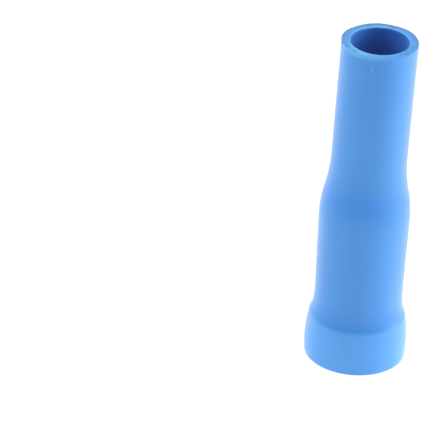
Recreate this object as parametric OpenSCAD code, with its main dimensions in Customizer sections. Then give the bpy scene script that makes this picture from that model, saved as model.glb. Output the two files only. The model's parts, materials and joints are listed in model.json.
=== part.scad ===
// Round crimp socket connector: an insulated female bullet terminal, standing on its mating end.
// Millimetres. The origin is the centre of the mouth rim and +Z runs along the axis to the wire end.

/* [Socket contact] */
// Inside diameter of the rolled socket that grips the bullet
socket_bore_d = 4.8; // [4.2:0.1:5.2]
// Thickness of the sheet that the contact is stamped from
sheet_t = 0.35; // [0.25:0.05:0.45]
// Length of the rolled socket
socket_l = 7.5; // [6.5:0.1:9]
// Width of the slit that lets the socket spring open
slit_w = 0.6; // [0.3:0.1:1]
// Length of the coined lead-in at the socket's mouth
lead_in_l = 0.35; // [0.2:0.05:0.6]
// Radial depth of the coined lead-in
lead_in_depth = 0.2; // [0.1:0.05:0.2]
// Distance from the socket's mouth to the middle of the rolled detent bead
bead_z = 4.6; // [3.5:0.1:5.5]
// Height of the detent bead inside the socket
bead_h = 0.15; // [0.1:0.05:0.2]
// Bending radius of the detent bead inside the socket
bead_r = 0.75; // [0.6:0.05:1]
// Length of the open neck between the socket and the crimp barrel
neck_l = 2; // [1.5:0.1:3]
// Angle that the neck's trough spans around the axis
neck_span = 200; // [150:5:240]
// Inside diameter of the crimp barrel
crimp_bore_d = 2.4; // [1.9:0.1:2.8]
// Length of the crimp barrel
crimp_l = 5; // [4.5:0.1:6.5]
// Width of the butt seam along the crimp barrel
seam_w = 0.06; // [0.04:0.01:0.2]
// Number of gripping grooves inside the crimp barrel
groove_count = 3; // [2:1:4]
// Width of one gripping groove
groove_w = 0.3; // [0.2:0.05:0.4]
// Depth of one gripping groove
groove_depth = 0.08; // [0.05:0.01:0.12]
// Distance between the middles of two gripping grooves
groove_pitch = 1; // [0.8:0.1:1.2]

/* [Sleeve around the contact] */
// Radial clearance between the contact and the sleeve
seat_clearance = 0.02; // [0.01:0.01:0.05]
// Wall of the sleeve around the socket, at its narrowest
body_wall = 0.5; // [0.35:0.01:0.7]
// How much the sleeve's radius grows from there to the shoulder
body_swell = 0.09; // [0.02:0.01:0.15]
// Distance that the shoulder starts below the end of the socket
shoulder_lead = 0.5; // [0.2:0.1:1.5]
// Length of the shoulder's crowned curve
shoulder_crown_l = 2; // [1.5:0.1:3]
// Length of the shoulder's hollow curve, which runs out into the tube
shoulder_hollow_l = 3; // [2:0.1:4]

/* [Collar] */
// Depth of the socket's mouth behind the rim of the collar
contact_recess = 4.7; // [4.5:0.1:6.5]
// Length of the collar from its rim to its back edge
collar_l = 3.4; // [3:0.1:3.6]
// Length of the slope behind the back edge
back_slope_l = 0.5; // [0.3:0.05:0.8]
// How far the back edge stands out from the foot of that slope
back_slope_h = 0.2; // [0.1:0.01:0.3]
// Length of the hollow curve that leads from the slope to the body
flare_l = 1.9; // [1:0.1:2.5]
// How far the foot of the slope stands out from the body
flare_h = 0.1; // [0.05:0.01:0.2]
// How far the collar swells out from its back edge
collar_bulge = 0.24; // [0.1:0.01:0.4]
// Height of the collar's widest place above the rim
collar_crown_z = 1.1; // [0.8:0.1:1.6]
// Wall of the collar at its widest place
collar_wall = 0.515; // [0.4:0.005:0.7]
// Length of the straight bore inside the collar
mouth_bore_l = 2.4; // [1.5:0.1:2.8]
// Length of the cone that leads from that bore to the contact's seat
mouth_cone_l = 2; // [1:0.1:2]
// Rounding of both edges of the rim
rim_round = 0.12; // [0.05:0.01:0.15]

/* [Wire entry] */
// Inside diameter of the wire entry, for the wire with its insulation
wire_bore_d = 4.3; // [3.6:0.1:4.6]
// Wall of the sleeve around the wire entry
wire_wall = 0.64; // [0.45:0.01:0.75]
// Length of the funnel that leads the strands into the crimp barrel
funnel_l = 1.1; // [0.7:0.1:2]
// Length of the straight wire entry above the funnel
wire_entry_l = 5.7; // [3.5:0.1:9]
// Rounding of the cut edges at the wire end
cut_round = 0.08; // [0.03:0.01:0.15]

/* [Hidden] */
$fa = 2;
$fs = 0.12;

// Overlap that keeps cuts clear of the faces they leave through
cut_over = 0.5;

// Radius of the arc that leaves a line square to its centre and moves sideways by rise over a given run
function arc_radius(rise, run) = (rise * rise + run * run) / (2 * rise);

// Half width, at a given run from its widest place, of an outline that an arc closes in from there
function arc_half_width(widest, radius, run) = widest - radius + sqrt(radius * radius - run * run);

// Radii of the contact
socket_bore_r = socket_bore_d / 2;
socket_r = socket_bore_r + sheet_t;
crimp_bore_r = crimp_bore_d / 2;
crimp_r = crimp_bore_r + sheet_t;

// Heights along the contact, from its mouth to the end of the crimp barrel
socket_top = contact_recess + socket_l;
neck_top = socket_top + neck_l;
crimp_top = neck_top + crimp_l;

// Radii of the sleeve
socket_seat_r = socket_r + seat_clearance;
crimp_seat_r = crimp_r + seat_clearance;
waist_r = socket_seat_r + body_wall;
shoulder_r = waist_r + body_swell;
flare_r = waist_r + flare_h;
back_edge_r = flare_r + back_slope_h;
collar_r = back_edge_r + collar_bulge;
mouth_bore_r = collar_r - collar_wall;
wire_bore_r = wire_bore_d / 2;
wire_r = wire_bore_r + wire_wall;

// Heights along the sleeve
back_slope_top = collar_l + back_slope_l;
flare_top = back_slope_top + flare_l;
mouth_cone_top = mouth_bore_l + mouth_cone_l;
shoulder_z = socket_top - shoulder_lead;
shoulder_mid = shoulder_z + shoulder_crown_l;
shoulder_top = shoulder_mid + shoulder_hollow_l;
funnel_top = crimp_top + funnel_l;
overall_l = funnel_top + wire_entry_l;

// Arcs of the sleeve's outline
collar_arc_r = arc_radius(collar_bulge, collar_l - collar_crown_z);
flare_arc_r = arc_radius(flare_h, flare_l);
shoulder_fall = (shoulder_r - wire_r) / (shoulder_crown_l + shoulder_hollow_l);
shoulder_crown_r = arc_radius(shoulder_fall * shoulder_crown_l, shoulder_crown_l);
shoulder_hollow_r = arc_radius(shoulder_fall * shoulder_hollow_l, shoulder_hollow_l);
rim_r = arc_half_width(collar_r, collar_arc_r, collar_crown_z - rim_round);

// What rounding takes off a square corner that has its material towards +X and +Y
module corner_cut(radius) {
    difference() {
        translate([-cut_over, -cut_over])
            square(radius + cut_over);
        translate([radius, radius])
            circle(radius);
    }
}

// Outline of the sleeve without its bores, from the collar to the wire end
module sleeve_outline() {
    // Barrel of the collar: an arc that is widest a little above the rim
    intersection() {
        translate([collar_r - collar_arc_r, collar_crown_z])
            circle(collar_arc_r);
        square([collar_r + cut_over, collar_l]);
    }
    // Slope behind the collar's back edge, then a hollow curve down to the body
    polygon([[0, collar_l], [back_edge_r, collar_l], [flare_r, back_slope_top], [0, back_slope_top]]);
    difference() {
        translate([0, back_slope_top])
            square([flare_r, flare_l]);
        translate([waist_r + flare_arc_r, flare_top])
            circle(flare_arc_r);
    }
    // Body around the socket, swelling gently towards the shoulder
    polygon([[0, flare_top], [waist_r, flare_top], [shoulder_r, shoulder_z], [0, shoulder_z]]);
    // Shoulder: a crowned arc, then a hollow arc that meets it without a corner
    intersection() {
        translate([shoulder_r - shoulder_crown_r, shoulder_z])
            circle(shoulder_crown_r);
        translate([0, shoulder_z])
            square([shoulder_r + cut_over, shoulder_crown_l]);
    }
    difference() {
        translate([0, shoulder_mid])
            square([shoulder_r, shoulder_hollow_l]);
        translate([wire_r + shoulder_hollow_r, shoulder_top])
            circle(shoulder_hollow_r);
    }
    // Straight tube of the wire entry
    translate([0, shoulder_top])
        square([wire_r, overall_l - shoulder_top]);
}

// Outline of everything that is open inside the sleeve
module sleeve_bores() {
    // Mouth of the collar, its cone and the seat of the contact, up to the lip that stops the contact
    polygon([
        [0, -cut_over],
        [mouth_bore_r, -cut_over],
        [mouth_bore_r, mouth_bore_l],
        [socket_seat_r, mouth_cone_top],
        [socket_seat_r, socket_top],
        [crimp_seat_r, neck_top],
        [crimp_seat_r, crimp_top],
        [0, crimp_top],
    ]);
    // Funnel over the crimp barrel's end and the straight wire entry
    polygon([
        [0, crimp_top],
        [crimp_bore_r, crimp_top],
        [wire_bore_r, funnel_top],
        [wire_bore_r, overall_l + cut_over],
        [0, overall_l + cut_over],
    ]);
}

// Soft plastic sleeve, moulded in one piece
module insulating_sleeve() {
    color([0.33, 0.58, 0.88])
        rotate_extrude()
            difference() {
                sleeve_outline();
                sleeve_bores();
                // Rounded edges of the rim
                translate([rim_r, 0])
                    mirror([1, 0])
                        corner_cut(rim_round);
                translate([mouth_bore_r, 0])
                    corner_cut(rim_round);
                // Rounded edges of the cut wire end
                translate([wire_r, overall_l])
                    mirror([1, 0])
                        mirror([0, 1])
                            corner_cut(cut_round);
                translate([wire_bore_r, overall_l])
                    mirror([0, 1])
                        corner_cut(cut_round);
            }
}

// Section of the rolled socket: a straight wall with the coined lead-in and the detent bead
module socket_section() {
    bead_middle = [socket_bore_r + bead_r - bead_h, contact_recess + bead_z];
    difference() {
        union() {
            translate([socket_bore_r, contact_recess])
                square([sheet_t, socket_l]);
            intersection() {
                translate(bead_middle)
                    circle(bead_r);
                translate([0, contact_recess])
                    square([socket_bore_r + sheet_t / 2, socket_l]);
            }
        }
        // The groove that the bead leaves in the outer face
        translate(bead_middle)
            circle(bead_r - sheet_t);
        // The lead-in
        polygon([
            [socket_bore_r - cut_over, contact_recess - cut_over],
            [socket_bore_r + lead_in_depth, contact_recess - cut_over],
            [socket_bore_r + lead_in_depth, contact_recess],
            [socket_bore_r, contact_recess + lead_in_l],
            [socket_bore_r - cut_over, contact_recess + lead_in_l],
        ]);
    }
}

// Section of the neck, a cone of the same sheet
module neck_section() {
    polygon([
        [socket_bore_r, socket_top],
        [socket_r, socket_top],
        [crimp_r, neck_top],
        [crimp_bore_r, neck_top],
    ]);
}

// Section of the crimp barrel, with its gripping grooves
module crimp_section() {
    grooves_z = (neck_top + crimp_top) / 2;
    difference() {
        translate([crimp_bore_r, neck_top])
            square([sheet_t, crimp_l]);
        for (i = [0 : groove_count - 1])
            translate([crimp_bore_r - cut_over, grooves_z + (i - (groove_count - 1) / 2) * groove_pitch - groove_w / 2])
                square([cut_over + groove_depth, groove_w]);
    }
}

// Straight cut through the +Y side of the contact, as wide as a slit or seam
module side_cut(width, from_z, to_z) {
    translate([-width / 2, 0, from_z])
        cube([width, socket_r + cut_over, to_z - from_z]);
}

// What is cut away over the neck on the +Y side, so that a trough is left on the other side
module neck_opening() {
    open_angle = 360 - neck_span;
    translate([0, 0, socket_top])
        rotate([0, 0, 90 - open_angle / 2])
            rotate_extrude(angle = open_angle)
                square([socket_r + cut_over, neck_l]);
}

// Contact, stamped and rolled from one piece of tinned brass sheet
module socket_contact() {
    color([0.78, 0.77, 0.73])
        difference() {
            rotate_extrude() {
                socket_section();
                neck_section();
                crimp_section();
            }
            side_cut(slit_w, contact_recess - cut_over, socket_top);
            neck_opening();
            side_cut(seam_w, neck_top, crimp_top + cut_over);
        }
}

insulating_sleeve();
socket_contact();
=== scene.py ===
import json
import math

import bpy
import numpy as np
from mathutils import Matrix, Vector


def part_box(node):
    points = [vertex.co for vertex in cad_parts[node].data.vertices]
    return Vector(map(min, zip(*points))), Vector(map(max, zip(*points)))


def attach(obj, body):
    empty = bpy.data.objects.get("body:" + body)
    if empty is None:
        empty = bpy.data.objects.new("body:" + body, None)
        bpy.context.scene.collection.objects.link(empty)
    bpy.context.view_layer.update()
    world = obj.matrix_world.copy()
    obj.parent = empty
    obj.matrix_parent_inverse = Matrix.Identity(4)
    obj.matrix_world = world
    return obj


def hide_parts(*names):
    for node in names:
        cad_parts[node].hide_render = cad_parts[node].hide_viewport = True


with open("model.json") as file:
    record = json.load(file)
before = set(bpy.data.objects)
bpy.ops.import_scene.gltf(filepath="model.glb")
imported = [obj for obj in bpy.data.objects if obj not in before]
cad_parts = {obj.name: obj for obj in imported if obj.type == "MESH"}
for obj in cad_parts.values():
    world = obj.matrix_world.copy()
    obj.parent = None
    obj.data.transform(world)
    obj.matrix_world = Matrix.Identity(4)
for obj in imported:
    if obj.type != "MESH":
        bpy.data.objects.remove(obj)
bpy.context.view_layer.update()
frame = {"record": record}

# Insulating sleeve: a soft blue plastic tube in one piece, widened around the socket and belled
# out again at the mating mouth. The wire end is cut off with a blade, which presses the front
# edge round, raises the edge where it leaves and scores the cut. The soft tube leans a little.
MM = 0.001
mounts = {mount["name"]: mount["dims"] for mount in frame["record"]["mounts"]}
sleeve_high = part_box("insulating_sleeve")[1]
contact_low, contact_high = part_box("socket_contact")

# Outside, from the mouth up: the collar, the hollow behind it, the body, the shoulder and the tube
collar_r = sleeve_high.x
collar_l = 3.4 * MM
collar_crown_z = 1.1 * MM
collar_bulge = 0.24 * MM
back_edge_r = collar_r - collar_bulge
back_slope_l = 0.5 * MM
back_slope_h = 0.2 * MM
back_slope_top = collar_l + back_slope_l
flare_l = 1.9 * MM
flare_h = 0.1 * MM
flare_power = 4
flare_top = back_slope_top + flare_l
waist_r = back_edge_r - back_slope_h - flare_h
body_swell = 0.09 * MM
shoulder_r = waist_r + body_swell
shoulder_z = 11.7 * MM
shoulder_crown_l = 2.0 * MM
shoulder_hollow_l = 3.0 * MM
shoulder_mid = shoulder_z + shoulder_crown_l
shoulder_top = shoulder_mid + shoulder_hollow_l
tube_wall = 0.64 * MM
wire_bore_r = mounts["wire_entry"]["r_mm"] * MM
tube_r = wire_bore_r + tube_wall
tube_lean = math.tan(math.radians(1.02))
tube_lean_z = 14.0 * MM
tube_lean_run = 1.5 * MM
cut_z = sleeve_high.z

# Inside: the mouth, the seat that follows the contact, the lip that stops it, and the wire entry
rim_round = 0.12 * MM
mouth_bore_r = mounts["mating_mouth"]["r_mm"] * MM
mouth_bore_l = 2.4 * MM
mouth_cone_top = 4.4 * MM
seat_clearance = 0.02 * MM
socket_l = 7.5 * MM
socket_r = contact_high.x
socket_seat_r = socket_r + seat_clearance
socket_top = contact_low.z + socket_l
neck_l = 2.0 * MM
neck_top = socket_top + neck_l
crimp_wall = 0.35 * MM
crimp_bore_r = mounts["conductor_barrel"]["r_mm"] * MM
crimp_seat_r = crimp_bore_r + crimp_wall + seat_clearance
crimp_top = contact_high.z
funnel_l = 1.1 * MM
funnel_top = crimp_top + funnel_l

# Angles around the sleeve, closer together at the front, where the cut and the nick show most
sleeve_sides = 288
front_angle = math.radians(262)
front_crowding = 0.55
even_angle = np.arange(sleeve_sides) / sleeve_sides * 2 * np.pi
sleeve_angle = front_angle + even_angle - front_crowding * np.sin(even_angle)


def bell(distance, width, power=2):
    """Rounded bump: 1 at no distance, falling off on both sides as e to the minus (distance over width) to
    a power. The power 2 is the Gaussian curve, and 4 has a flatter top."""
    return np.exp(-((distance / width) ** power))


def ease(value, low, high):
    """Smooth step from 0 at low to 1 at high, level at both ends: three squares less two cubes."""
    share = np.clip((value - low) / (high - low), 0, 1)
    return share * share * (3 - 2 * share)


def turn_from(angle, place):
    """Signed angle from a place on the turn, between minus and plus half a turn."""
    return (angle - place + np.pi) % (2 * np.pi) - np.pi


def near_angle(place_deg, width_deg):
    """Bell over the sleeve's angles around one place on its turn, both given in degrees."""
    return bell(turn_from(sleeve_angle, math.radians(place_deg)), math.radians(width_deg))


def arc_drop(along, rise, run):
    """How far an arc has left its tangent after a length along it: its radius less the leg of the right
    triangle on that length. The radius is that of an arc that moves sideways by a rise over a run."""
    radius = (rise * rise + run * run) / (2 * rise)
    return radius - np.sqrt(np.maximum(radius ** 2 - along ** 2, 0))


def sleeve_outside(z):
    """Radius of the sleeve's outside at height z. The collar is a crowned arc. Behind its back edge a slope
    eases off with a power of the way left to the waist, and the body is a cone that swells gently. A
    crowned and a hollow arc make the shoulder, with one slope where they meet. The tube is straight."""
    shoulder_fall = (shoulder_r - tube_r) / (shoulder_crown_l + shoulder_hollow_l)
    to_waist = (flare_top - z) / (flare_top - collar_l)
    return np.select(
        [z <= collar_l, z <= flare_top, z <= shoulder_z, z <= shoulder_mid, z <= shoulder_top],
        [
            collar_r - arc_drop(z - collar_crown_z, collar_bulge, collar_l - collar_crown_z),
            waist_r + (back_edge_r - waist_r) * to_waist ** flare_power,
            waist_r + (shoulder_r - waist_r) * (z - flare_top) / (shoulder_z - flare_top),
            shoulder_r - arc_drop(z - shoulder_z, shoulder_fall * shoulder_crown_l, shoulder_crown_l),
            tube_r + arc_drop(shoulder_top - z, shoulder_fall * shoulder_hollow_l, shoulder_hollow_l),
        ],
        tube_r,
    )


def stepped(start, *stretches):
    """Places from start on. Each stretch is a number of even steps and the stop that they lead up to."""
    stops = [start] + [stop for steps, stop in stretches]
    runs = [
        np.linspace(low, stop, steps, endpoint=False) for low, (steps, stop) in zip(stops, stretches)
    ]
    return np.append(np.concatenate(runs), stops[-1])


def section_point(place):
    """A section point, radius and height, at every angle. Either may differ from angle to angle."""
    return np.stack([np.broadcast_to(part, sleeve_angle.shape) for part in place], axis=-1)


def line(start, end, rows):
    """Section points from start up to end, closer together near both: the share of the way is half of one
    minus the cosine of an even angle."""
    share = (0.5 - 0.5 * np.cos(np.pi * np.arange(rows) / rows))[:, None, None]
    return section_point(start) * (1 - share) + section_point(end) * share


def corner(middle, radius, start_deg, end_deg, rows):
    """Section points on an arc about middle, from one angle of the section up to another."""
    turn = np.radians(np.linspace(start_deg, end_deg, rows, endpoint=False))
    arc = np.stack([np.cos(turn), np.sin(turn)], axis=1)[:, None, :]
    return section_point(middle) + np.broadcast_to(radius, sleeve_angle.shape)[None, :, None] * arc


# Cut end: the blade presses the front edge round, and raises a burr in low waves around the back
cut_edge_l = 0.34 * MM
edge_round = 0.07 * MM
pressed_more = 0.22 * MM
pressed_round = edge_round + pressed_more * near_angle(place_deg=268, width_deg=40)
bore_round = 0.05 * MM
burr_l = 0.8 * MM
burr_mean_h = 0.055 * MM
burr_half_span = math.radians(95)
burr_wave_count = 6
burr_wave_share = 0.45
burr_turn = turn_from(sleeve_angle, math.radians(97))
burr_waves = 1 + burr_wave_share * np.cos(burr_wave_count * burr_turn)
burr_h = burr_mean_h * burr_waves * bell(burr_turn, burr_half_span, power=4)
cut_edge_r = tube_r + burr_h

# Nick: a small scraped ridge below the cut, with a groove on each side
nick_angle = math.radians(257.6)
nick_z = 25.08 * MM
nick_h = 0.022 * MM
nick_half_l = 0.29 * MM
nick_half_w = 0.065 * MM
nick_to_groove = 0.14 * MM
nick_rows_below = 0.5 * MM
nick_rows_above = 0.4 * MM

# Outside wall, from the rim of the mouth up to the cut. It sways a little: each wave has the number of
# times that it goes around, its radians for each metre of height, and its phase
collar_crease = 0.03 * MM
outer_z = stepped(
    rim_round,
    (24, collar_l - collar_crease),
    (2, collar_l + collar_crease),
    (8, back_slope_top),
    (12, flare_top),
    (20, shoulder_z),
    (36, shoulder_top),
    (24, nick_z - nick_rows_below),
    (30, nick_z + nick_rows_above),
    (5, cut_z - cut_edge_l),
)[:, None]
sway_h = 0.004 * MM
sway_waves = [(2, 300, 0), (3, -420, 1)]
sway = sum(np.sin(times * sleeve_angle + rate * outer_z + phase) for times, rate, phase in sway_waves)
uneven = sway_h * ease(outer_z, flare_top, shoulder_z) * sway
raised = burr_h * ease(outer_z, cut_z - burr_l, cut_z - cut_edge_l)
nick_across = turn_from(sleeve_angle, nick_angle) * tube_r
nick_along = bell(outer_z - nick_z, nick_half_l, power=4)
nick_ridge = bell(nick_across, nick_half_w) * nick_along
nick_grooves = bell(np.abs(nick_across) - nick_to_groove, nick_half_w) * nick_along
outer_r = sleeve_outside(outer_z) + uneven + raised + nick_h * (nick_ridge - nick_grooves)

# Whole section: from the rim of the mouth up the outside, over the cut and down through the bores
rim_r = float(sleeve_outside(np.array(rim_round)))
section_pieces = {
    "outer_rim": corner((rim_r - rim_round, rim_round), rim_round, -90, 0, rows=7),
    "outer_wall": np.stack(np.broadcast_arrays(outer_r, outer_z), axis=-1),
    "cut_edge": corner((cut_edge_r - pressed_round, cut_z - pressed_round), pressed_round, 0, 90, rows=10),
    "cut_face": line((cut_edge_r - pressed_round, cut_z), (wire_bore_r + bore_round, cut_z), rows=18),
    "bore_edge": corner((wire_bore_r + bore_round, cut_z - bore_round), bore_round, 90, 180, rows=8),
    "wire_bore": line((wire_bore_r, cut_z - bore_round), (wire_bore_r, funnel_top), rows=22),
    "funnel": line((wire_bore_r, funnel_top), (crimp_bore_r, crimp_top), rows=8),
    "stop_lip": line((crimp_bore_r, crimp_top), (crimp_seat_r, crimp_top), rows=4),
    "crimp_seat": line((crimp_seat_r, crimp_top), (crimp_seat_r, neck_top), rows=8),
    "neck_seat": line((crimp_seat_r, neck_top), (socket_seat_r, socket_top), rows=8),
    "socket_seat": line((socket_seat_r, socket_top), (socket_seat_r, mouth_cone_top), rows=10),
    "mouth_cone": line((socket_seat_r, mouth_cone_top), (mouth_bore_r, mouth_bore_l), rows=10),
    "mouth_bore": line((mouth_bore_r, mouth_bore_l), (mouth_bore_r, rim_round), rows=10),
    "inner_rim": corner((mouth_bore_r + rim_round, rim_round), rim_round, 180, 270, rows=7),
    "standing_face": line((mouth_bore_r + rim_round, 0), (rim_r - rim_round, 0), rows=8),
}
section_r, section_z = np.moveaxis(np.concatenate(list(section_pieces.values())), -1, 0)
row_piece = np.repeat(list(section_pieces), [len(rows) for rows in section_pieces.values()])


def rows_of(*names):
    """Column that is true for the rows of the section that belong to the named pieces of it."""
    return np.isin(row_piece, names)[:, None]


def turned(radius, angle, z):
    """Points at a radius from the axis, an angle around it and a height: radius times cosine and sine."""
    return np.stack(np.broadcast_arrays(radius * np.cos(angle), radius * np.sin(angle), z), axis=-1)


def lean(points):
    """Points moved sideways with the leaning tube: upright below the bend, a parabola through it and a
    straight slope above it. The cut end stays level."""
    x, y, z = np.moveaxis(points, -1, 0)
    past = z - tube_lean_z
    bent = np.clip(past + tube_lean_run, 0, 2 * tube_lean_run)
    shift = tube_lean * (bent ** 2 / (4 * tube_lean_run) + np.maximum(past - tube_lean_run, 0))
    return np.stack([x + shift, y, z], axis=-1)


# Blade marks on the cut face: fine drag lines and a few deeper strokes. Each stroke starts and ends at an
# angle in degrees and a radius in millimetres, and has a depth in millimetres
drag_angle = math.radians(25)
drag_pitches = np.array([0.11, 0.17, 0.29, 0.43]) * MM
drag_depths = np.array([0.002, 0.003, 0.004, 0.004]) * MM
drag_phases = np.arange(4)
strokes = [
    (190, 2.76, 193, 2.72, 0.05),
    (197, 2.61, 207, 2.49, 0.09),
    (216, 2.54, 227, 2.53, 0.09),
    (303, 2.46, 313, 2.41, 0.09),
    (320, 2.35, 327, 2.33, 0.09),
    (311, 2.60, 318, 2.60, 0.05),
    (311, 2.80, 316, 2.74, 0.07),
    (337, 2.34, 341, 2.38, 0.08),
    (168, 2.38, 171, 2.34, 0.05),
    (62, 2.35, 71, 2.50, 0.05),
    (104, 2.56, 112, 2.44, 0.05),
]
stroke_half_w = 0.055 * MM
stroke_darkest = 0.12 * MM
cut_fade = 0.1 * MM


def stroke_depth(x, y, stroke):
    """Depth of one blade stroke: a bell of the distance from the straight line between its two places. Each
    place is a complex number, so that dividing by the line's run gives the share along it."""
    from_deg, from_r, to_deg, to_r, depth = stroke
    start = from_r * MM * np.exp(1j * np.radians(from_deg))
    run = to_r * MM * np.exp(1j * np.radians(to_deg)) - start
    offset = (x + 1j * y - start) / run
    along = np.clip(offset.real, 0, 1)
    return depth * MM * bell(np.abs((offset - along) * run), stroke_half_w)


upright_points = turned(section_r, sleeve_angle, section_z)
face_x, face_y = upright_points[:, :, 0], upright_points[:, :, 1]
across_drag = face_y * math.cos(drag_angle) - face_x * math.sin(drag_angle)
drag_waves = np.sin(2 * np.pi * across_drag[:, :, None] / drag_pitches + drag_phases)
drag_lines = (drag_depths * (1 - drag_waves)).sum(axis=-1)
stroke_lines = np.max([stroke_depth(face_x, face_y, stroke) for stroke in strokes], axis=0)
on_cut = rows_of("cut_edge", "cut_face", "bore_edge") * ease(section_z, cut_z - cut_fade, cut_z)
upright_points[:, :, 2] -= on_cut * (drag_lines + stroke_lines)
# Painted shade in the strokes: a darker blue that grows with their depth, full at stroke_darkest
stroke_shade = on_cut * stroke_lines / stroke_darkest

# Whitened plastic and painted highlights: the raw cut, the nick and the stretch where the blade came in are
# whitened. The pressed front edge and a line along the bore's edge, widest where the blade came in and
# lying further out where it left, are partly whitened and partly painted highlights on their rounded edges
blade_in = near_angle(place_deg=235, width_deg=26)
blade_out = near_angle(place_deg=90, width_deg=38)
white_line_gap = 0.08 * MM
white_line_gap_out = 0.1 * MM
white_line_w = 0.08 * MM
white_line_w_in = 0.09 * MM
white_line_w_out = 0.04 * MM
white_line_from_bore = white_line_gap + white_line_gap_out * blade_out
white_line_half_w = white_line_w + white_line_w_in * blade_in + white_line_w_out * blade_out
on_bore_edge = on_cut * bell(section_r - wire_bore_r - white_line_from_bore, white_line_half_w)
pressed_below = 0.15 * MM
pressed_half_l = 0.13 * MM
below_cut = rows_of("outer_wall", "cut_edge") * bell(section_z - cut_z + pressed_below, pressed_half_l)
pressed = below_cut * near_angle(place_deg=262, width_deg=45)
on_entry = np.maximum(on_cut, below_cut) * near_angle(place_deg=224, width_deg=28)
on_nick = np.zeros(section_z.shape)
on_nick[row_piece == "outer_wall"] = nick_ridge
# Shares of the lighter blue: the bore's edge line and the pressed edge carry painted highlights as well as
# whitening
bore_edge_white_and_highlight = 0.15 + 0.18 * blade_in + 0.24 * blade_out
cut_white = 0.12
pressed_white_and_highlight = 0.27
entry_white = 0.372
nick_white = 0.168
whitening_and_highlights = (
    bore_edge_white_and_highlight * on_bore_edge
    + np.maximum(cut_white * on_cut, pressed_white_and_highlight * pressed)
    + entry_white * on_entry
    + nick_white * on_nick
)

# Burr edge: a thin line of painted shade, a dull dark blue, along the outer edge of the cut, where the
# blade left
burr_shade_line_in = 0.08 * MM
burr_shade_line_half_w = 0.19 * MM
burr_shade_line = bell(section_r - cut_edge_r + burr_shade_line_in, burr_shade_line_half_w)
on_burr_edge_shade = on_cut * burr_shade_line * near_angle(place_deg=85, width_deg=85)

# Inside of the bores, where the light is dim: painted shade, a deeper blue on the walls below the edge. In
# the wire entry, painted light stands for light that comes through the wall at both sides: its share is 1
# there,
# 0 far down at the front and back, where the painted shade is deepest, and a half elsewhere
dim_from = 0.4 * MM
rim_lit = 0.5 * MM
deep_from = 0.3 * MM
deep_to = 1.6 * MM
bore_walls = rows_of(
    "wire_bore", "funnel", "stop_lip", "crimp_seat", "neck_seat", "socket_seat", "mouth_cone", "mouth_bore"
)
below_edge = 1 - ease(section_z, cut_z - dim_from, cut_z - bore_round)
above_rim = ease(section_z, rim_round, rim_round + rim_lit)
in_bore = bore_walls * below_edge * above_rim
to_side = np.cos(sleeve_angle) ** 2
deep_down = 1 - ease(section_z, cut_z - deep_to, cut_z - deep_from)
in_entry = ease(section_z, crimp_top, funnel_top)
bore_light = 0.5 + 0.5 * in_entry * (to_side - (1 - to_side) * deep_down)

# Painted light and shade: the thin lip around the mouth is a lighter blue, for light that comes through its
# wall, and painted shade makes a deeper blue on the bands behind the collar and at the shoulder behind the
# socket, where the surface tilts up
lip_fade_below = 0.05 * MM
lip_fade_above = 0.25 * MM
collar_shade_up = 0.9 * MM
collar_shade_half_l = 0.7 * MM
collar_shade_share = 0.7
shoulder_shade_half_l = 1.0 * MM
lip_light = 1 - ease(section_z, collar_l - lip_fade_below, collar_l + lip_fade_above)
collar_shade = collar_shade_share * bell(section_z - collar_l - collar_shade_up, collar_shade_half_l)
shade_rings = np.maximum(collar_shade, bell(section_z - shoulder_mid, shoulder_shade_half_l))


def grid_quads(rows, columns, close_rows, close_columns):
    """Four corner numbers for each cell of a grid of points, joined round on itself where asked."""
    row = np.arange(rows if close_rows else rows - 1)[:, None]
    column = np.arange(columns if close_columns else columns - 1)[None, :]
    next_row = (row + 1) % rows
    next_column = (column + 1) % columns
    return np.stack(
        [
            row * columns + column,
            row * columns + next_column,
            next_row * columns + next_column,
            next_row * columns + column,
        ],
        axis=-1,
    ).reshape(-1, 4)


def piece_from(name, points, quads, marks):
    """Smooth mesh object at the origin, with one number per point for each named mark."""
    mesh = bpy.data.meshes.new(name)
    mesh.from_pydata(points.reshape(-1, 3), [], quads)
    mesh.shade_smooth()
    for mark, values in marks.items():
        attribute = mesh.attributes.new(mark, "FLOAT", "POINT")
        attribute.data.foreach_set("value", np.ravel(values).astype(np.float32))
    piece = bpy.data.objects.new(name, mesh)
    bpy.context.scene.collection.objects.link(piece)
    return piece


sleeve = piece_from(
    "blue_sleeve",
    lean(upright_points),
    grid_quads(*section_z.shape, close_rows=True, close_columns=True),
    {
        "raw_cut": on_cut,
        "stroke_shade": stroke_shade,
        "whitening_and_highlights": whitening_and_highlights,
        "burr_edge_shade": on_burr_edge_shade,
        "in_bore": in_bore,
        "bore_light": bore_light,
        "lip_light": lip_light,
        "shade_rings": shade_rings,
    },
)


def fill_inputs(tree, node, inputs):
    """Fills a shader node's inputs, given by name or number: a socket is linked, and a value is set."""
    for key, value in inputs.items():
        if isinstance(value, bpy.types.NodeSocket):
            tree.links.new(value, node.inputs[key])
        else:
            node.inputs[key].default_value = value


def add_node(tree, kind, inputs=None, **settings):
    """A new shader node with its settings made and then its inputs filled."""
    node = tree.nodes.new(kind)
    for name, value in settings.items():
        setattr(node, name, value)
    fill_inputs(tree, node, inputs or {})
    return node


def mixed(tree, kind, share, first, second):
    """Number or colour that goes from the first to the second as the share goes from 0 to 1. The node has
    sockets of its own for each kind, told apart by number."""
    first_input, output = {"FLOAT": (2, 0), "RGBA": (6, 2)}[kind]
    inputs = {0: share, first_input: first, first_input + 1: second}
    return add_node(tree, "ShaderNodeMix", inputs, data_type=kind).outputs[output]


def map_range(tree, value, from_range, to_range=(0.0, 1.0)):
    """Number carried over in proportion from one range to another, and held at the ends."""
    limits = dict(zip(["From Min", "From Max", "To Min", "To Max"], [*from_range, *to_range]))
    return add_node(tree, "ShaderNodeMapRange", {"Value": value, **limits}).outputs["Result"]


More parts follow.
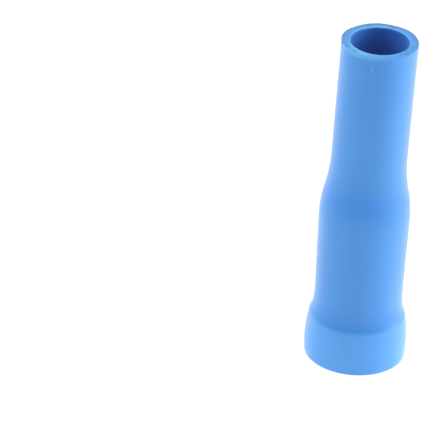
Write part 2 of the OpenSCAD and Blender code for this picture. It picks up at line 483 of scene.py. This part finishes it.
def mark_of(tree, name):
    """The number that the mesh carries at each point under a mark's name."""
    return add_node(tree, "ShaderNodeAttribute", attribute_name=name).outputs["Fac"]


def new_material(name):
    """A node material with its tree and its shader."""
    material = bpy.data.materials.new(name)
    material.use_nodes = True
    return material, material.node_tree, material.node_tree.nodes["Principled BSDF"]


# Grain shared by the plastic and the metal: a fine even grain and slow clouds, both from 0 to 1, with most
# of either inside the usual range
usual_range = (0.3, 0.7)
grain_group = bpy.data.node_groups.new("grain_and_clouds", "ShaderNodeTree")
grain_group.interface.new_socket("Coordinates", in_out="INPUT", socket_type="NodeSocketVector")
grain_group.interface.new_socket("Grain Scale", in_out="INPUT", socket_type="NodeSocketFloat")
grain_group.interface.new_socket("Cloud Scale", in_out="INPUT", socket_type="NodeSocketFloat")
grain_group.interface.new_socket("Grain", in_out="OUTPUT", socket_type="NodeSocketFloat")
grain_group.interface.new_socket("Clouds", in_out="OUTPUT", socket_type="NodeSocketFloat")
group_in = add_node(grain_group, "NodeGroupInput").outputs
group_out = add_node(grain_group, "NodeGroupOutput")
for effect, scale, detail in [("Grain", "Grain Scale", 3.0), ("Clouds", "Cloud Scale", 2.0)]:
    noise_inputs = {"Vector": group_in["Coordinates"], "Scale": group_in[scale], "Detail": detail}
    noise = add_node(grain_group, "ShaderNodeTexNoise", noise_inputs)
    fill_inputs(grain_group, group_out, {effect: noise.outputs["Fac"]})


def surface_grain(tree, height_share, grain_scale, cloud_scale):
    """Grain and clouds of a surface at its Object coordinates. The height counts at a share only, which
    draws both out along the axis."""
    place = add_node(tree, "ShaderNodeTexCoord").outputs["Object"]
    drawn = add_node(tree, "ShaderNodeMapping", {"Vector": place, "Scale": (1.0, 1.0, height_share)})
    scales = {"Grain Scale": grain_scale, "Cloud Scale": cloud_scale}
    inputs = {"Coordinates": drawn.outputs["Vector"], **scales}
    group = add_node(tree, "ShaderNodeGroup", inputs, node_tree=grain_group)
    return group.outputs["Grain"], group.outputs["Clouds"]


def grain_bump(tree, grain, strength, height):
    """Normal of a surface that its grain raises by up to a height, at a strength."""
    inputs = {"Height": grain, "Strength": strength, "Distance": height}
    return add_node(tree, "ShaderNodeBump", inputs).outputs["Normal"]


# Soft blue plastic: a satin skin with a fine grain and faint clouds. Each mark of the mesh tints the colour
# and changes the gloss in turn. The lip's light, the shade rings, the edge highlights, the shade in the
# strokes and along the burr edge, and the bore's shade and light are painted into the colour
clouded_blues = [(0.053, 0.290, 0.756, 1), (0.057, 0.305, 0.788, 1)]
lip_light_blue = (0.086, 0.375, 0.90, 1)
shade_ring_blue = (0.045, 0.277, 0.80, 1)
whitening_and_highlight_blue = (0.20, 0.60, 1.0, 1)
stroke_shade_blue = (0.030, 0.155, 0.42, 1)
burr_edge_shade_blue = (0.11, 0.20, 0.36, 1)
bore_shade_and_light_blues = [(0.075, 0.185, 0.46, 1), (0.045, 0.235, 0.80, 1)]
satin_roughness = (0.33, 0.41)
cut_roughness = 0.46
bore_roughness = 0.55
blue, tree, blue_shader = new_material("soft_blue_plastic")
grain, clouds = surface_grain(tree, height_share=0.25, grain_scale=9000.0, cloud_scale=420.0)
colour = mixed(tree, "RGBA", map_range(tree, clouds, usual_range), *clouded_blues)
for mark, tint in [
    ("lip_light", lip_light_blue),
    ("shade_rings", shade_ring_blue),
    ("whitening_and_highlights", whitening_and_highlight_blue),
    ("stroke_shade", stroke_shade_blue),
    ("burr_edge_shade", burr_edge_shade_blue),
    ("in_bore", mixed(tree, "RGBA", mark_of(tree, "bore_light"), *bore_shade_and_light_blues)),
]:
    colour = mixed(tree, "RGBA", mark_of(tree, mark), colour, tint)
roughness = map_range(tree, grain, usual_range, satin_roughness)
for mark, mark_roughness in [("raw_cut", cut_roughness), ("in_bore", bore_roughness)]:
    roughness = mixed(tree, "FLOAT", mark_of(tree, mark), roughness, mark_roughness)
fill_inputs(tree, blue_shader, {
    "Base Color": colour,
    "Roughness": roughness,
    "Normal": grain_bump(tree, grain, strength=0.25, height=0.004 * MM),
    "IOR": 1.5,
    "Sheen Weight": 0.25,
    "Sheen Roughness": 0.4,
    "Subsurface Weight": 0.08,
    "Subsurface Radius": (0.3, 0.6, 1.0),
    "Subsurface Scale": 0.2 * MM,
})
sleeve.data.materials.append(blue)
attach(sleeve, "root")
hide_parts("insulating_sleeve")

# Socket contact: one blank of tinned brass sheet, rolled up with its long edges towards +Y. It is
# a slit socket with a coined lead-in and a detent bead, an open neck and a butt-seamed crimp
# barrel with gripping grooves. It is pushed in from the mouth and held by the sleeve's grip.
socket_z = contact_low.z
socket_bore_r = mounts["bullet_socket"]["r_mm"] * MM
sheet_t = socket_r - socket_bore_r
sheet_edge = 0.04 * MM
sheet_columns = 121
lead_in_l = 0.35 * MM
lead_in_depth = 0.2 * MM
bead_from_end = 4.6 * MM
bead_mid_z = socket_z + bead_from_end
bead_mid_out = 0.6 * MM
bead_mid_r = socket_bore_r + bead_mid_out
bead_r = 0.75 * MM
bead_half_l = 0.5 * MM
groove_pitch = 1.0 * MM
groove_z = (neck_top + crimp_top) / 2 + groove_pitch * np.arange(-1, 2)
groove_half_w = 0.15 * MM
groove_slope = 0.03 * MM
groove_depth = 0.08 * MM
groove_rows = np.linspace(-0.2, 0.2, 17) * MM
slit_half_w = 0.3 * MM
seam_half_w = 0.03 * MM
neck_half_span = math.radians(100)
neck_corner = 0.4 * MM


def contact_radii(z):
    """Inner and outer radius of the rolled sheet at height z: a cylinder with a cone for a lead-in and a
    bead of two arcs about one middle, a conical neck, and a barrel with shallow grooves inside."""
    along_neck = np.clip((z - socket_top) / (neck_top - socket_top), 0, 1)
    inner = socket_bore_r + (crimp_bore_r - socket_bore_r) * along_neck
    outer = inner + sheet_t
    from_bead = np.abs(z - bead_mid_z)
    inner_bead = bead_mid_r - np.sqrt(np.maximum(bead_r ** 2 - from_bead ** 2, 0))
    outer_bead = bead_mid_r - np.sqrt(np.maximum((bead_r - sheet_t) ** 2 - from_bead ** 2, 0))
    coined = lead_in_depth * np.clip(1 - (z - socket_z) / lead_in_l, 0, 1)
    from_groove = np.abs(z[..., None] - groove_z).min(axis=-1)
    past_groove = ease(from_groove, groove_half_w - groove_slope, groove_half_w + groove_slope)
    grooved = groove_depth * (1 - past_groove)
    return np.minimum(inner, inner_bead) + coined + grooved, np.minimum(outer, outer_bead)


def half_span(z, radius):
    """Half the angle that the sheet spans at height z: short of half a turn by the slit or the seam, and
    cut back to the trough of the neck, with the blank's corners rounded."""
    gap = np.where(z < (socket_top + neck_top) / 2, slit_half_w, seam_half_w)
    rolled = np.pi - np.arcsin(gap / radius)
    into_neck = ease(z, socket_top, socket_top + neck_corner)
    out_of_neck = ease(z, neck_top - neck_corner, neck_top)
    return rolled + (neck_half_span - rolled) * (into_neck * (1 - out_of_neck))


def rung_quads(outer_rail, inner_rail):
    """Quads that join two rows of point numbers rung by rung, from the outer face to the inner one."""
    return np.stack([outer_rail[:-1], inner_rail[:-1], inner_rail[1:], outer_rail[1:]], axis=-1)


# Sheet: an outer and an inner face, drawn in at the ends and the long edges by a small bevel
contact_stops = stepped(
    socket_z,
    (1, socket_z + sheet_edge),
    (4, socket_z + lead_in_l),
    (7, bead_mid_z - bead_half_l),
    (32, bead_mid_z + bead_half_l),
    (7, socket_top),
    (15, socket_top + neck_corner),
    (7, neck_top - neck_corner),
    (15, neck_top),
    (9, crimp_top - sheet_edge),
    (1, crimp_top),
)
contact_z = np.union1d(contact_stops, groove_z[:, None] + groove_rows)[:, None]
contact_inner, contact_outer = contact_radii(contact_z)
contact_span = half_span(contact_z, (contact_inner + contact_outer) / 2)
across_sheet = np.concatenate([[0], np.linspace(0, 1, sheet_columns), [1]]) * 2 - 1
edge_column = np.arange(len(across_sheet)) % (len(across_sheet) - 1) == 0
end_row = (contact_z == contact_z[0]) | (contact_z == contact_z[-1])
bevelled = np.where(end_row | edge_column, sheet_edge, 0)
edge_angle = np.where(edge_column, 0, sheet_edge / contact_outer)
sheet_angle = across_sheet * (contact_span - edge_angle) - np.pi / 2
face_r = np.stack([contact_outer - bevelled, contact_inner + bevelled])
outer_number, inner_number = np.arange(face_r.size).reshape(face_r.shape)
outer_faces = grid_quads(*sheet_angle.shape, close_rows=False, close_columns=False)
contact = piece_from(
    "rolled_contact",
    lean(turned(face_r, sheet_angle, contact_z)),
    np.concatenate([
        outer_faces,
        outer_faces[:, ::-1] + sheet_angle.size,
        rung_quads(outer_number[0], inner_number[0]),
        rung_quads(outer_number[-1], inner_number[-1])[:, ::-1],
        rung_quads(outer_number[:, 0], inner_number[:, 0])[:, ::-1],
        rung_quads(outer_number[:, -1], inner_number[:, -1]),
    ]),
    {"bare_edge": np.broadcast_to(bevelled > 0, face_r.shape)},
)

# Tinned brass: bright tin with dull clouds and a rolled grain, and bare brass on the cut edges
tin_tones = [(0.60, 0.59, 0.56, 1), (0.50, 0.49, 0.46, 1)]
tin_cloud_range = (0.35, 0.7)
edge_brass = (0.68, 0.45, 0.15, 1)
tin_roughness = (0.32, 0.42)
tinned, tree, tin_shader = new_material("tinned_brass_sheet")
grain, clouds = surface_grain(tree, height_share=0.12, grain_scale=14000.0, cloud_scale=900.0)
tin = mixed(tree, "RGBA", map_range(tree, clouds, tin_cloud_range), *tin_tones)
fill_inputs(tree, tin_shader, {
    "Base Color": mixed(tree, "RGBA", mark_of(tree, "bare_edge"), tin, edge_brass),
    "Roughness": map_range(tree, grain, usual_range, tin_roughness),
    "Normal": grain_bump(tree, grain, strength=0.08, height=0.003 * MM),
    "Metallic": 1.0,
})
contact.data.materials.append(tinned)
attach(contact, "root")
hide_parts("socket_contact")

# Table: a plain white light table that the connector stands on, so bright that it takes no shadow.
# It glows most at the right and least behind the connector, and not under it.
table_half = 0.6
table_corners = np.array([(-1, -1, 0), (1, -1, 0), (1, 1, 0), (-1, 1, 0)]) * table_half
table_grey = (0.5, 0.5, 0.5, 1)
glow_left_right = (0.68, 1.18)
glow_front_back = (0.71, 0.50)
glow_edge = 0.2 * MM


def product(tree, first, second):
    """The first number times the second."""
    return add_node(tree, "ShaderNodeMath", {0: first, 1: second}, operation="MULTIPLY").outputs["Value"]


table = piece_from("white_table", table_corners, [(0, 1, 2, 3)], {})
table_white, tree, table_shader = new_material("white_light_table")
place = add_node(tree, "ShaderNodeTexCoord").outputs["Object"]
from_middle = add_node(tree, "ShaderNodeVectorMath", {0: place}, operation="LENGTH").outputs["Value"]
direction = add_node(tree, "ShaderNodeVectorMath", {0: place}, operation="NORMALIZE").outputs["Vector"]
side = add_node(tree, "ShaderNodeSeparateXYZ", {"Vector": direction}).outputs
side_glow = map_range(tree, side["X"], (-1.0, 1.0), glow_left_right)
depth_glow = map_range(tree, side["Y"], (-1.0, 1.0), glow_front_back)
round_glow = mixed(tree, "FLOAT", product(tree, side["X"], side["X"]), depth_glow, side_glow)
outside_mouth = map_range(tree, from_middle, (mouth_bore_r, mouth_bore_r + glow_edge))
fill_inputs(tree, table_shader, {
    "Base Color": table_grey,
    "Roughness": 0.9,
    "Emission Color": product(tree, round_glow, outside_mouth),
    "Emission Strength": 1.0,
})
table.data.materials.append(table_white)

# Studio light: soft boxes at the right, the left, the back left and above, which all face the
# connector's middle, and a white surround that adds an even fill and is the white background.
box_side = 0.2
box_distance = 0.35
fill_strength = 0.31
background_strength = 1.0


def soft_box(name, azimuth_deg, elevation_deg, watts):
    """A square area light that faces the connector's middle, from a direction at the boxes' distance."""
    data = bpy.data.lights.new(name, "AREA")
    data.shape = "SQUARE"
    data.size = box_side
    data.energy = watts
    azimuth = math.radians(azimuth_deg)
    elevation = math.radians(elevation_deg)
    level = math.cos(elevation)
    away = Vector((math.cos(azimuth) * level, math.sin(azimuth) * level, math.sin(elevation)))
    light = bpy.data.objects.new(name, data)
    light.location = Vector((0, 0, cut_z / 2)) + box_distance * away
    light.rotation_euler = away.to_track_quat("Z", "Y").to_euler()
    bpy.context.scene.collection.objects.link(light)


soft_box("right_box", azimuth_deg=0, elevation_deg=10, watts=0.50)
soft_box("high_right_box", azimuth_deg=0, elevation_deg=35, watts=0.34)
soft_box("left_box", azimuth_deg=180, elevation_deg=35, watts=0.34)
soft_box("back_left_box", azimuth_deg=135, elevation_deg=10, watts=0.56)
soft_box("top_box", azimuth_deg=0, elevation_deg=90, watts=0.49)
world = bpy.data.worlds.new("white_surround")
world.use_nodes = True
tree = world.node_tree
seen = add_node(tree, "ShaderNodeLightPath").outputs["Is Camera Ray"]
fill_inputs(tree, tree.nodes["Background"], {
    "Color": (1, 1, 1, 1),
    "Strength": map_range(tree, seen, (0.0, 1.0), (fill_strength, background_strength)),
})
bpy.context.scene.world = world
bpy.context.scene.view_settings.view_transform = "Standard"

# Camera: a long lens in front of the connector that looks down on it at about 30 degrees. It aims left of
# the connector, which then stands at the right of the view, and it is rolled, so that the connector leans.
camera_place = Vector((-18.469, -285.551, 172.172)) * MM
camera_aim = Vector((-10.459, 0.0, 11.147)) * MM
camera_roll = math.radians(3.27)
camera_data = bpy.data.cameras.new("camera")
camera_data.sensor_width = 36
camera_data.lens = 361.5
camera_data.clip_start = 0.01
camera = bpy.data.objects.new("camera", camera_data)
facing = (camera_aim - camera_place).to_track_quat("-Z", "Y").to_matrix().to_4x4()
camera.matrix_world = Matrix.Translation(camera_place) @ facing @ Matrix.Rotation(camera_roll, 4, "Z")
bpy.context.scene.collection.objects.link(camera)
bpy.context.scene.camera = camera
